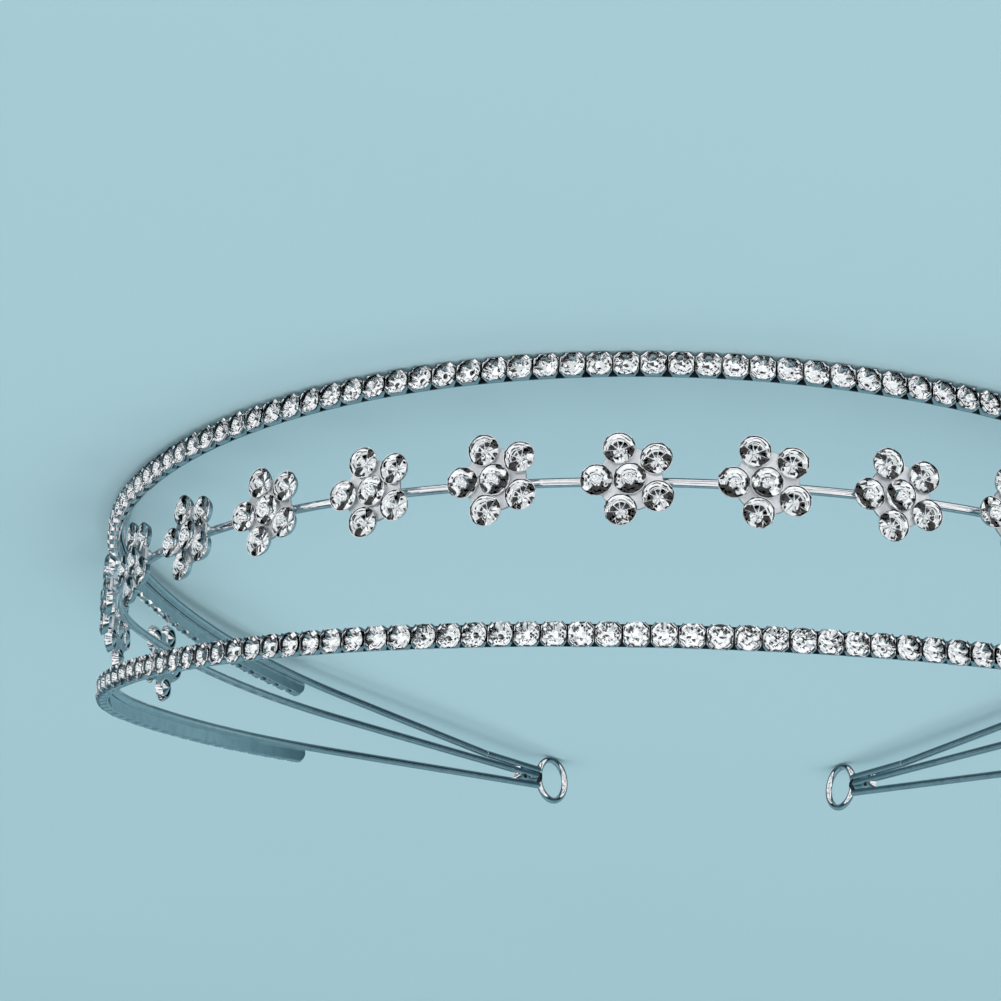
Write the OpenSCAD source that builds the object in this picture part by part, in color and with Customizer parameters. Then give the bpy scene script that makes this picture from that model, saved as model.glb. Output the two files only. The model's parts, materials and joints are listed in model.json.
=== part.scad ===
// Crystal headband: three sprung wires that meet in a loop at each end.
// The lower and the upper wire each carry a row of stones in square cups,
// and the middle wire carries flowers of six round stones.
// It lies on its side as it would by itself, on the lower row and the two loops.
// The front of the headband faces -Y, and the loops are at the back.

/* [Curve] */
// Wire length of the round front, on each side of the middle
front_len = 80; // [70:1:90]
// Radius of the round front
front_r = 69; // [62:1:76]
// Wire length of the tighter bend at each temple
temple_len = 27; // [22:1:32]
// Radius of the bend at each temple
temple_r = 47; // [42:1:54]
// Wire length of the slack bend behind each temple
side_len = 50; // [40:1:60]
// Radius of the slack bend behind each temple
side_r = 110.5; // [96:0.5:140]
// Straight length from there to the middle of the end loop
arm_len = 46; // [40:1:52]

/* [Rows] */
// Angle at the end loops between the lower row and the flower row
lower_spread = 5.1; // [4.5:0.1:6]
// Angle at the end loops between the flower row and the upper row
upper_spread = 5.5; // [4.5:0.1:6.5]
// Diameter of the three wires
wire_d = 1; // [0.9:0.05:1.1]

/* [Stone rows] */
// Distance from stone to stone
pitch = 2.8; // [2.7:0.05:2.9]
// Stones in the lower row
lower_count = 107; // [97:2:107]
// Stones in the upper row
upper_count = 108; // [98:2:108]
// How far the lower row of cups is off the middle, towards +X
lower_slide = 0.2; // [-1:0.1:1]
// How far the upper row of cups is off the middle, towards +X
upper_slide = -0.3; // [-1:0.1:1]
// Size of a cup along the row
cup_len = 2.65; // [2.3:0.05:2.65]
// Size of a cup across the row
cup_wide = 2.6; // [2.2:0.05:2.7]
// Cut at the corners of a cup
cup_corner = 0.4; // [0.2:0.05:0.6]
// Distance of the cup's rim from the middle of its wire
cup_rim = 1.72; // [1.6:0.02:1.9]
// Distance of the stone's flat top from the middle of its wire
row_table = 1.96; // [1.9:0.02:2.2]

/* [Flowers] */
// Number of flowers
flower_count = 17; // [13:2:17]
// Distance from flower to flower along the wire
flower_pitch = 14; // [13.5:0.1:14]
// How far the row of flowers is off the middle, towards +X
flower_slide = 2.3; // [-3:0.1:3]
// Distance of a petal from the middle of its flower
petal_r = 3.48; // [3.44:0.02:3.7]
// Diameter of a round cup at its rim
ring_d = 3.4; // [3.34:0.02:3.42]
// Diameter of a round cup at its back
ring_back_d = 2.7; // [2.4:0.1:3]
// Wall of a round cup at its rim
ring_wall = 0.15; // [0.12:0.01:0.2]
// Diameter of the thin plate that joins the cups
plate_d = 6.8; // [6:0.1:7.2]
// Thickness of that plate
plate_t = 0.3; // [0.25:0.05:0.4]

/* [Flower stones] */
// Diameter of a flower stone
stone_d = 3; // [2.8:0.05:3]
// Diameter of the flat top of a stone
table_d = 1.75; // [1.5:0.05:2]
// Height of the stone above its widest line
crown_h = 0.42; // [0.3:0.02:0.5]
// Depth of a petal's stone below its widest line
pavilion_h = 1.5; // [1.3:0.05:1.6]
// The same for a stone that lies over the wire
short_pavilion_h = 1.05; // [0.9:0.05:1.05]
// Thickness of the stone's edge
girdle_h = 0.1; // [0.06:0.02:0.12]
// Facets round a stone
facets = 8; // [8:2:12]

/* [End loops] */
// Outer diameter of an end loop
loop_d = 6.95; // [6.6:0.05:7.2]
// Diameter of the loop's wire
loop_wire = 0.95; // [0.9:0.05:1]
// Depth to which the loop's wire is worn flat inside
loop_wear = 0.075; // [0.05:0.005:0.1]
// Length of the three wire ends that belong to the loop
tip_len = 15; // [14:0.5:17]
// Length of the solder web behind the loop
web_len = 6; // [4:0.5:8]
// Thickness of the solder web
web_t = 0.6; // [0.4:0.05:0.8]

/* [Hidden] */
FLOWER_NAMES = [for (i = [1 : flower_count]) str(i < 10 ? "0" : "", i)];

$fn = 48;
arc_fn = 240;
silver = [0.80, 0.82, 0.84];
bright_silver = [0.88, 0.89, 0.91];
crystal = [0.78, 0.90, 0.96];

// Small gap between pieces that lie against each other
gap = 0.05;
// Pieces sink this far into what they are soldered to
solder = 0.15;
// Solder bridges stand this far out of what they join
bridge = 0.02;

// Arcs of one half of the wire's curve, from the middle of the front to the end loop.
// A radius of 0 is a straight stretch.
LENGTH = 0;
RADIUS = 1;
ARCS = [
    [front_len, front_r],
    [temple_len, temple_r],
    [side_len, side_r],
    [arm_len, 0]];
STRAIGHT = len(ARCS) - 1;

// Turn in degrees of an arc of this length and radius
function turn(length, radius) = length / radius * 180 / PI;

// Place reached from p = [x, y, heading] after a stretch of this length and radius
function step(p, length, radius) =
    radius == 0
        ? [p.x + length * cos(p.z), p.y + length * sin(p.z), p.z]
        : let (end = p.z + turn(length, radius))
          [p.x + radius * (sin(end) - sin(p.z)),
           p.y - radius * (cos(end) - cos(p.z)), end];

// Place and heading at wire length s from the middle of the front
function walk(s, i = 0, p = [0, 0, 0]) =
    i == STRAIGHT || s <= ARCS[i][LENGTH]
        ? step(p, s, ARCS[i][RADIUS])
        : walk(s - ARCS[i][LENGTH], i + 1, step(p, ARCS[i][LENGTH], ARCS[i][RADIUS]));

// Wire length at which arc i starts
function arc_start(i) = i == 0 ? 0 : arc_start(i - 1) + ARCS[i - 1][LENGTH];

half_len = arc_start(STRAIGHT) + arm_len;
wire_end = half_len - tip_len;
end_place = walk(half_len);
depth = end_place.y;

// The three rows lie in planes that fan out from a line through both end loops.
// The lowest edge of the lower row and both loops touch the ground.
end_height = loop_d / 2;
loop_r = (loop_d - loop_wire) / 2;
loop_hole = loop_d - 2 * loop_wire + 2 * loop_wear;
lower_rise = -asin((end_height - wire_d / 2) / (depth + cup_rim));
middle_rise = lower_rise + lower_spread;
upper_rise = middle_rise + upper_spread;
// At the loops the upper wire lies on the middle one, and the lower one is soldered into it
stack = wire_d + gap;
lower_stack = 0.94 * wire_d;
// Half height of the solder web at its far end
web_far = 1.5 * wire_d;

// Each flower is soldered by hand, so it sits a little off its place: along the
// wire, across the wire towards the upper row, and turned in degrees.
SLIDE = 0;
LIFT = 1;
TURN = 2;
FLOWERS = [
    [0, 0.3, 3],
    [0, 0.2, 6],
    [0.1, 0, 3],
    [-0.1, 0.1, 5],
    [0, -0.1, 3],
    [0.1, 0, 6],
    [0, 0, 5],
    [0, 0, 4],
    [-0.1, 0.1, 3],
    [0, -0.2, 4],
    [0, -0.1, 3],
    [0.2, 0, 3],
    [-0.1, 0.3, 4],
    [-0.2, 0.2, 4],
    [0, 0.4, 4],
    [1.5, 1, 4],
    [3, 1, 4]];

// The origin is below the middle of the whole headband
loop_back = loop_r * sin(end_place.z) + loop_wire / 2;
shift_y = -(depth + loop_back - row_table) / 2;

// Cups lie off their wire, so that wire and cup share one edge
cup_lift = cup_wide / 2 - wire_d / 2;
cup_back = wire_d / 2 + gap;
crown_sink = 0.06;
crown_d = 0.9 * cup_wide;
crown_top_d = 0.55 * crown_d;

// A strip runs behind the cups, a little narrower than they are, and is soldered along the wire
strip_inset = 0.12;
strip_wide = cup_wide - 2 * strip_inset;
strip_t = 0.4;
strip_side = strip_inset - wire_d / 2;
strip_back = cup_back + solder - strip_t;

petal_count = 5;

// Levels of a flower, measured from the middle of its wire
ring_rim = 1.85;
ring_back = 1.0;
girdle_level = 1.66;
plate_level = 1.1;
stone_gap = 0.07;
seat_d = 2.2;
seat_h = 0.05;
// Cuts reach this far past what they cut
past = 1;

// Two solder pads hold a flower: one under petal 0, and one farther out between two petals
pad_d = 0.9;
pad_x = petal_r / 2;
far_pad_x = -1.45 * pad_x;

// Puts a row's flat curve into its sloping plane, lifted across that plane
module row_plane(rise, lift = 0) {
    translate([0, shift_y + depth, end_height])
        rotate([-rise, 0, 0])
            translate([0, -depth, lift])
                children();
}

// Puts children on the curve at wire length s: x along the wire, y up, z outwards
module on_curve(s) {
    p = walk(abs(s));
    translate([sign(s) * p.x, p.y, 0])
        rotate([0, 0, sign(s) * p.z])
            rotate([90, 0, 0])
                children();
}

// Arc of a flat profile that starts at a place and turns to the left
module arc(p, length, radius) {
    translate([p.x - radius * sin(p.z), p.y + radius * cos(p.z), 0])
        rotate([0, 0, p.z - 90])
            rotate_extrude(angle = turn(length, radius), $fn = arc_fn)
                translate([radius, 0])
                    children();
}

// Arc of the round front, which is one piece across the middle
module front_arc() {
    p = walk(front_len);
    arc([-p.x, p.y, -p.z], 2 * front_len, front_r)
        children();
}

// Straight wire from a place along its heading
module wire_rod(p, length, rise = 0) {
    translate([p.x, p.y, 0])
        rotate([0, 90 - rise, p.z])
            cylinder(d = wire_d, h = length);
}

// Sprung wire from one side's last straight stretch to the other's
module sprung_wire() {
    front_arc()
        circle(d = wire_d, $fn = 32);
    for (side = [-1, 1])
        for (i = [1 : STRAIGHT])
            on_curve(side * arc_start(i))
                sphere(d = wire_d + 2 * bridge);
    for (side = [0, 1])
        mirror([side, 0, 0]) {
            for (i = [1 : STRAIGHT - 1])
                arc(walk(arc_start(i)), ARCS[i][LENGTH], ARCS[i][RADIUS])
                    circle(d = wire_d, $fn = 32);
            wire_rod(walk(arc_start(STRAIGHT)), wire_end - arc_start(STRAIGHT));
        }
}

// Square cup with cut corners and the stone set in it
module set_cup() {
    x = cup_len / 2;
    y = cup_wide / 2;
    c = cup_corner;
    translate([0, cup_lift, cup_back])
        linear_extrude(height = cup_rim - cup_back)
            polygon([[x - c, -y], [x, c - y], [x, y - c], [x - c, y],
                [c - x, y], [-x, y - c], [-x, c - y], [c - x, -y]]);
    translate([0, cup_lift, cup_rim - crown_sink])
        cylinder(d1 = crown_d, d2 = crown_top_d, h = row_table - cup_rim + crown_sink);
}

// Section of the strip behind the cups
module strip_profile() {
    translate([strip_back, strip_side])
        square([strip_t, strip_wide]);
}

// Strip behind the cups, from the middle of the first cup to the middle of the last
module cup_strip(count, slide) {
    front_arc()
        strip_profile();
    for (side = [-1, 1])
        for (i = [1 : STRAIGHT])
            let (length = (count - 1) / 2 * pitch + side * slide - arc_start(i))
                if (length > 0)
                    mirror([side < 0 ? 1 : 0, 0, 0])
                        strip_stretch(i, length);
}

// One stretch of the strip, no longer than its part of the curve
module strip_stretch(i, length) {
    on_curve(arc_start(i))
        strip_bridge();
    if (i < STRAIGHT)
        arc(walk(arc_start(i)), min(ARCS[i][LENGTH], length), ARCS[i][RADIUS])
            strip_profile();
    else
        on_curve(arc_start(i))
            rotate([0, 90, 0])
                linear_extrude(height = length)
                    mirror([1, 0, 0])
                        strip_profile();
}

// Drop of solder where two stretches of the strip meet
module strip_bridge() {
    translate([0, strip_side + strip_wide / 2, strip_back + strip_t / 2])
        cube([strip_t, strip_wide + 2 * bridge, strip_t + 2 * bridge], center = true);
}

// Row of set cups soldered along its wire
module stone_row(count, slide) {
    color(silver) {
        sprung_wire();
        for (i = [0 : count - 1])
            on_curve((i - (count - 1) / 2) * pitch + slide)
                set_cup();
        cup_strip(count, slide);
    }
}

module lower_row() {
    row_plane(lower_rise)
        stone_row(lower_count, lower_slide);
}

module upper_row() {
    row_plane(upper_rise, stack)
        stone_row(upper_count, upper_slide);
}

module middle_wire() {
    row_plane(middle_rise)
        color(silver)
            sprung_wire();
}

// Loop of round wire, its hole worn flat, soldered to the ends of the three wires
module end_loop() {
    start = walk(wire_end + 2 * gap);
    run = half_len - wire_end - 2 * gap - loop_r;
    lower_gap = (depth - start.y) * sin(lower_spread);
    difference() {
        union() {
            translate([end_place.x, shift_y + depth, end_height])
                rotate([90, 0, end_place.z])
                    rotate_extrude($fn = 96)
                        translate([loop_r, 0])
                            circle(d = loop_wire, $fn = 32);
            row_plane(middle_rise)
                wire_rod(start, run);
            row_plane(middle_rise, -lower_gap)
                wire_rod(start, run, asin((lower_gap - lower_stack) / run));
            row_plane(upper_rise, stack)
                wire_rod(start, run);
            row_plane(middle_rise)
                solder_web();
        }
        translate([end_place.x, shift_y + depth, end_height])
            rotate([90, 0, end_place.z])
                cylinder(d = loop_hole, h = 2 * loop_wire, center = true, $fn = 96);
    }
}

// Flat web of solder between the three wire ends
module solder_web() {
    near = loop_r;
    far = loop_r + web_len;
    translate([end_place.x, end_place.y, 0])
        rotate([90, 0, end_place.z])
            linear_extrude(height = web_t, center = true)
                polygon([[-near, -wire_d], [-near, wire_d], [-far, web_far], [-far, -wire_d]]);
}

module right_end_loop() {
    color(bright_silver)
        end_loop();
}

module left_end_loop() {
    color(bright_silver)
        mirror([1, 0, 0])
            end_loop();
}

// Puts children at petals of a flower. Petal 0 lies over the wire, towards +X.
module petals(numbers = [0 : petal_count - 1]) {
    for (i = numbers)
        rotate([0, 0, i * 360 / petal_count])
            translate([petal_r, 0, 0])
                children();
}

// Puts children on the middle wire at the place of flower i
module at_flower(i) {
    row_plane(middle_rise)
        on_curve((i - (flower_count - 1) / 2) * flower_pitch + flower_slide + FLOWERS[i][SLIDE])
            children();
}

// Puts children at the middle of flower i and turns them with it
module on_flower(i) {
    translate([0, FLOWERS[i][LIFT], 0])
        rotate([0, 0, FLOWERS[i][TURN]])
            children();
}

// Round cups on a thin plate, open at the back, with two solder pads down to the wire
module flower_setting(i) {
    color(bright_silver)
        at_flower(i)
            difference() {
                union() {
                    on_flower(i) {
                        translate([0, 0, plate_level])
                            cylinder(d = plate_d, h = plate_t);
                        round_cup();
                        petals()
                            round_cup();
                    }
                    for (x = [far_pad_x, pad_x])
                        translate([x, 0, wire_d / 2 + gap])
                            cylinder(d = pad_d, h = plate_level + plate_t / 2 - wire_d / 2);
                }
                on_flower(i) {
                    cup_hollow();
                    petals()
                        cup_hollow();
                }
            }
}

// Outside of a round cup, wider at its rim
module round_cup() {
    translate([0, 0, ring_back])
        cylinder(d1 = ring_back_d, d2 = ring_d, h = ring_rim - ring_back);
}

// Hollow of a round cup: a seat for the stone and a hole for its point
module cup_hollow() {
    inner = ring_d / 2 - ring_wall;
    seat = girdle_level - girdle_h / 2 - stone_gap;
    rotate_extrude()
        polygon([[0, ring_back - past], [seat_d / 2, ring_back - past],
            [seat_d / 2, ring_back + seat_h], [inner, seat], [inner, ring_rim + past],
            [0, ring_rim + past]]);
}

// Cut stone: table, crown, edge and pointed pavilion, as one closed shell
module cut_stone(depth) {
    turns = [for (i = [0 : facets - 1]) (i + 0.5) * 360 / facets];
    levels = [
        [table_d / 2, crown_h],
        [stone_d / 2, girdle_h / 2],
        [stone_d / 2, -girdle_h / 2]];
    points = concat(
        [for (level = levels) for (a = turns) [level[0] * cos(a), level[0] * sin(a), level[1]]],
        [[0, 0, -depth]]);
    table = [[for (i = [facets - 1 : -1 : 0]) i]];
    sides = [for (k = [0 : len(levels) - 2]) for (i = [0 : facets - 1])
        let (j = (i + 1) % facets)
        [k * facets + i, k * facets + j, (k + 1) * facets + j, (k + 1) * facets + i]];
    last = (len(levels) - 1) * facets;
    pavilion = [for (i = [0 : facets - 1])
        [last + i, last + (i + 1) % facets, len(points) - 1]];
    polyhedron(points = points, faces = concat(table, sides, pavilion));
}

module flower_stones(i) {
    color(crystal)
        at_flower(i)
            on_flower(i)
                translate([0, 0, girdle_level]) {
                    cut_stone(short_pavilion_h);
                    petals([0])
                        cut_stone(short_pavilion_h);
                    petals([1 : petal_count - 1])
                        cut_stone(pavilion_h);
                }
}

lower_row();
upper_row();
middle_wire();
right_end_loop();
left_end_loop();
for (i = [0 : flower_count - 1]) {
    flower_setting(i);
    flower_stones(i);
}
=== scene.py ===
"""Looks of a crystal headband: silver-plated wires, claw cups, flowers of round stones and end loops.

The headband lies on its side on a pale floor, on its lower row and its two end loops. Lengths are in
millimetres until a mesh is made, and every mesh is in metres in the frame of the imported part.
Local coordinates on a wire are x along the wire towards +X, y across the row and upwards, and z outwards.
"""

from __future__ import annotations

import json
import logging
import math
from dataclasses import dataclass, field
from enum import Enum
from typing import Iterable, Sequence

import bpy
import numpy as np
from mathutils import Matrix, Vector

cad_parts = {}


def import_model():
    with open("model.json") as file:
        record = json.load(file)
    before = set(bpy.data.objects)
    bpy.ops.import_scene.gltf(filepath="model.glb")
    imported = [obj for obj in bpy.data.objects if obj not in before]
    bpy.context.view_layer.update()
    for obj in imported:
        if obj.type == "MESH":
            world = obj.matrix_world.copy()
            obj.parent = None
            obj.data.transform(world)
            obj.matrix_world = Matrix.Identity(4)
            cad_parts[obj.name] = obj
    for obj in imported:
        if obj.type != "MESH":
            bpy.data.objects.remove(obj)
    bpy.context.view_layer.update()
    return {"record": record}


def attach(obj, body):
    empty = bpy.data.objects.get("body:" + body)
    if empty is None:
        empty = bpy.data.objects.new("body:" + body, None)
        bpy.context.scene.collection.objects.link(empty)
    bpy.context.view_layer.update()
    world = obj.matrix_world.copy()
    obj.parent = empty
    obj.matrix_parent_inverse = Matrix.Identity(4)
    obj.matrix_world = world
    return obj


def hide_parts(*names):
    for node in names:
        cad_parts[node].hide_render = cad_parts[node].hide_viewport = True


Array = np.ndarray
Tree = bpy.types.NodeTree
Socket = bpy.types.NodeSocket

MM = 0.001
TAU = 2.0 * math.pi
PHOTO_PIXELS = 1001
SENSOR_MM = 36.0
SHARP_DEGREES = 40.0
# Half of the 45 degrees from one main facet to the next: a stone is turned by up to this much
HALF_FACET = 22.5
# Finish numbers: of a stone, and of a piece of metal. The metal's second finish is dark: painted shade in
# gaps, on hidden faces and in recesses, and the dark colour of the solder drops
GLASS, FOIL = 0, 1
BRIGHT, PAINTED_SHADE_AND_SOLDER, STAMPED = 0, 1, 2

log = logging.getLogger("headband")


class Slot(Enum):
    """Material slots of the record."""

    ROW = "row_silver"
    WIRE = "wire_silver"
    SETTING = "setting_silver"
    CRYSTAL = "crystal"


class Shade(Enum):
    """How the faces of a surface are shaded."""

    FLAT = False
    SMOOTH = True


def linear(hex_colour: str) -> tuple[float, float, float, float]:
    """Turn an sRGB hex colour into linear RGBA.

    Args:
        hex_colour: six hex digits.

    Returns:
        Red, green, blue and an alpha of 1, linear.
    """
    channels = np.array([int(hex_colour[i : i + 2], 16) for i in (0, 2, 4)]) / 255.0
    low = channels / 12.92
    high = ((channels + 0.055) / 1.055) ** 2.4
    red, green, blue = np.where(channels <= 0.04045, low, high)
    return float(red), float(green), float(blue), 1.0


@dataclass
class Surface:
    """A polygon surface: points in millimetres, and faces as one array per number of corners.

    Attributes:
        points: array of (n, 3).
        faces: arrays of point numbers, each (faces, corners).
        finish: material number of each array in faces.
        shade: flat or smooth, for each array in faces.
    """

    points: Array
    faces: list[Array]
    finish: list[int] = field(default_factory=list)
    shade: list[Shade] = field(default_factory=list)

    def __post_init__(self) -> None:
        """Give every face array a finish and a shading."""
        self.finish = self.finish or [0] * len(self.faces)
        self.shade = self.shade or [Shade.FLAT] * len(self.faces)

    def placed(self, spots: Spots) -> Surface:
        """Copy the surface to every spot.

        A point (x, y, z) goes to origin + x * along + y * up + z * out of each spot.

        Args:
            spots: places and axes of the copies.

        Returns:
            One surface with all the copies.
        """
        axes = np.stack([spots.along, spots.up, spots.out], axis=1)
        points = spots.origin[:, None, :] + self.points[None] @ axes
        step = np.arange(len(spots.origin))[:, None, None] * len(self.points)
        faces = [(f[None] + step).reshape(-1, f.shape[1]) for f in self.faces]
        return Surface(points.reshape(-1, 3), faces, self.finish, self.shade)


def joined(surfaces: Iterable[Surface]) -> Surface:
    """Join surfaces into one, with their faces' finishes and shading kept.

    Args:
        surfaces: the surfaces to join.

    Returns:
        One surface.
    """
    parts = list(surfaces)
    offsets = np.cumsum([0] + [len(p.points) for p in parts])
    faces = [f + start for p, start in zip(parts, offsets) for f in p.faces]
    finish = [m for p in parts for m in p.finish]
    shade = [s for p in parts for s in p.shade]
    return Surface(np.concatenate([p.points for p in parts]), faces, finish, shade)


def grid_faces(rows: int, columns: int, close_rows: bool = False, close_columns: bool = False) -> Array:
    """Number the corners of the quads of a grid of points that is stored row by row.

    Args:
        rows: rows of points.
        columns: points in a row.
        close_rows: whether the last row joins the first.
        close_columns: whether the last column joins the first.

    Returns:
        Array of (quads, 4).
    """
    i = np.arange(rows if close_rows else rows - 1)[:, None]
    j = np.arange(columns if close_columns else columns - 1)[None, :]
    next_i = (i + 1) % rows
    next_j = (j + 1) % columns
    corners = [i * columns + j, i * columns + next_j, next_i * columns + next_j, next_i * columns + j]
    return np.stack(corners, axis=-1).reshape(-1, 4)


def ring(radius: Array | float, angle: Array, height: Array | float) -> Array:
    """Find the points (r cos a, r sin a, z) of a ring, or of a grid of rings.

    Args:
        radius: r, one or for each angle.
        angle: a in radians.
        height: z, one or for each angle.

    Returns:
        Array of (..., 3).
    """
    x, y = radius * np.cos(angle), radius * np.sin(angle)
    return np.stack([x, y, np.broadcast_to(height, x.shape)], axis=-1)


def revolved(profile: Sequence[tuple[float, float]], segments: int) -> Surface:
    """Turn a closed profile of (radius, z) round the z axis.

    Args:
        profile: points from the back to the front along the outside, and back down inside.
        segments: sides of the turned shape.

    Returns:
        A smooth surface.
    """
    radius, height = np.array(profile, float).T[..., None]
    points = ring(radius, np.arange(segments) * TAU / segments, height)
    faces = grid_faces(len(profile), segments, close_rows=True, close_columns=True)
    return Surface(points.reshape(-1, 3), [faces], shade=[Shade.SMOOTH])


def ellipsoid(centre: Sequence[float], radii: Sequence[float], wave: float) -> Surface:
    """Make a drop of solder: an ellipsoid whose radius swells and sinks by a slow wave.

    A point at latitude u and longitude v lies at
    centre + radii * direction(u, v) * (1 + wave * sin(3v + 2u) * cos u).

    Args:
        centre: its middle.
        radii: its three half sizes.
        wave: height of the wave as a share of the radius.

    Returns:
        A smooth closed surface.
    """
    rings, segments = 9, 16
    u = np.linspace(-math.pi / 2, math.pi / 2, rings)[:, None]
    v = (np.arange(segments) * TAU / segments)[None, :]
    direction = np.stack([np.cos(u) * np.cos(v), np.cos(u) * np.sin(v), np.sin(u) + 0 * v], axis=-1)
    swell = 1.0 + wave * np.sin(3.0 * v + 2.0 * u) * np.cos(u)
    points = np.array(centre) + direction * swell[..., None] * np.array(radii)
    faces = grid_faces(rings, segments, close_columns=True)
    return Surface(points.reshape(-1, 3), [faces], shade=[Shade.SMOOTH])


def swept(path: Spots, profile: Array, shade: Shade, marked: Array | bool = False) -> Surface:
    """Carry a closed profile along a path and close both ends.

    A profile point (y, z) goes to origin + y * up + z * out of each place on the path.

    Args:
        path: places along the path, in order.
        profile: array of (n, 2), or of (places, n, 2) where it changes along the path, counter-clockwise
            when looking back along the path.
        shade: shading of the long faces.
        marked: which of the long faces, (places - 1, n), take the dark finish that paints shade on them.

    Returns:
        A closed surface.
    """
    rings, sides = len(path.origin), profile.shape[-2]
    points = (
        path.origin[:, None, :]
        + profile[..., 0, None] * path.up[:, None, :]
        + profile[..., 1, None] * path.out[:, None, :]
    )
    skin = grid_faces(rings, sides, close_columns=True)
    start = np.arange(sides)[None, ::-1]
    end = (rings - 1) * sides + np.arange(sides)[None, :]
    # Marked faces take the dark finish: painted shade
    dull = np.broadcast_to(marked, (rings - 1, sides)).ravel()
    faces = [skin[~dull], skin[dull], start, end]
    finish = [BRIGHT, PAINTED_SHADE_AND_SOLDER, BRIGHT, BRIGHT]
    return Surface(points.reshape(-1, 3), faces, finish, [shade, shade, Shade.FLAT, Shade.FLAT])


def circle(radius: float, sides: int) -> Array:
    """Points (y, z) of a circle, in the order that swept() wants."""
    angle = np.arange(sides) * TAU / sides
    return radius * np.stack([np.cos(angle), np.sin(angle)], axis=-1)


@dataclass(frozen=True)
class Spots:
    """Places in the part's frame, in millimetres, each with its own three axes.

    Attributes:
        origin: array of (n, 3).
        along: unit vectors along the wire.
        up: unit vectors across the row.
        out: unit vectors outwards.
    """

    origin: Array
    along: Array
    up: Array
    out: Array

    def moved(self, y: float = 0.0, z: float = 0.0) -> Spots:
        """Move every place across the row and outwards."""
        return Spots(self.origin + y * self.up + z * self.out, self.along, self.up, self.out)

    def picked(self, which: slice) -> Spots:
        """Pick some of the places."""
        return Spots(self.origin[which], self.along[which], self.up[which], self.out[which])

    def turned(self, degrees: Array) -> Spots:
        """Turn each place about its outward axis, from along towards up."""
        angle = np.radians(degrees)[:, None]
        along = np.cos(angle) * self.along + np.sin(angle) * self.up
        up = np.cos(angle) * self.up - np.sin(angle) * self.along
        return Spots(self.origin, along, up, self.out)

    def tipped(self, x_degrees: Array, y_degrees: Array) -> Spots:
        """Tip each place a little about its along and up axes."""
        tip_x = np.radians(x_degrees)[:, None]
        tip_y = np.radians(y_degrees)[:, None]
        out = self.out + tip_x * self.up + tip_y * self.along
        out = out / np.linalg.norm(out, axis=1, keepdims=True)
        along = self.along - np.sum(self.along * out, axis=1, keepdims=True) * out
        along = along / np.linalg.norm(along, axis=1, keepdims=True)
        return Spots(self.origin, along, np.cross(out, along), out)


@dataclass(frozen=True)
class Curve:
    """Plan of a sprung wire: arcs from the middle of the front to the end loop, the same on both sides.

    Attributes:
        arcs: length and radius of each arc. A radius of 0 is straight.
    """

    arcs: tuple[tuple[float, float], ...] = ((80.0, 69.0), (27.0, 47.0), (50.0, 110.5), (46.0, 0.0))

    @property
    def half_length(self) -> float:
        """Wire length from the middle of the front to the middle of the end loop."""
        return sum(length for length, _ in self.arcs)

    @property
    def depth(self) -> float:
        """Distance in y from the middle of the front to the middle of the end loop."""
        return float(self.at(self.half_length)[1])

    def at(self, s: Array | float) -> tuple[Array, Array, Array]:
        """Find the plan at wire lengths from the middle of the front.

        On an arc of radius r the heading h grows by length / r, and the place moves by
        r (sin h2 - sin h1) in x and r (cos h1 - cos h2) in y.

        Args:
            s: wire lengths, negative towards -X.

        Returns:
            x, y and heading in radians, as arrays.
        """
        side = np.where(s < 0, -1.0, 1.0)
        left = np.abs(s)
        x, y, heading = np.zeros_like(left), np.zeros_like(left), np.zeros_like(left)
        for number, (length, radius) in enumerate(self.arcs):
            last = number == len(self.arcs) - 1
            run = left if last else np.minimum(left, length)
            if radius:
                end = heading + run / radius
                x = x + radius * (np.sin(end) - np.sin(heading))
                y = y + radius * (np.cos(heading) - np.cos(end))
                heading = end
            else:
                x = x + run * np.cos(heading)
                y = y + run * np.sin(heading)
            left = left - run
        return side * x, y, side * heading


@dataclass(frozen=True)
class Row:
    """One of the three wires, in its sloping plane through the line between the end loops.

    Attributes:
        curve: plan of the wire.
        hinge: y and z of the line through the end loops, in the part's frame.
        rise: slope of the plane in degrees, upwards towards the front.
        lift: distance of the wire from that plane.
    """

    curve: Curve
    hinge: tuple[float, float]
    rise: float
    lift: float = 0.0

    def spots(self, s: Array | float) -> Spots:
        """Find places and axes at wire lengths s.

        The plan is moved so that its end lies on the hinge line, and is then turned about it by the rise.
        """
        s = np.atleast_1d(np.asarray(s, float))
        x, y, heading = self.curve.at(s)
        flat = np.stack([x, y - self.curve.depth, np.full_like(x, self.lift)], axis=-1)
        zero = np.zeros_like(x)
        along = np.stack([np.cos(heading), np.sin(heading), zero], axis=-1)
        out = np.stack([np.sin(heading), -np.cos(heading), zero], axis=-1)
        up = np.broadcast_to([0.0, 0.0, 1.0], along.shape)
        angle = math.radians(self.rise)
        turn = np.array(
            [[1, 0, 0], [0, math.cos(angle), -math.sin(angle)], [0, math.sin(angle), math.cos(angle)]]
        )
        base = np.array([0.0, *self.hinge])
        return Spots(flat @ turn + base, along @ turn, up @ turn, out @ turn)

    def path(self, start: float, end: float, step: float = 1.2) -> Spots:
        """Find places along the wire from start to end, about a step apart."""
        count = max(2, int(math.ceil(abs(end - start) / step)) + 1)
        return self.spots(np.linspace(start, end, count))


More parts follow.
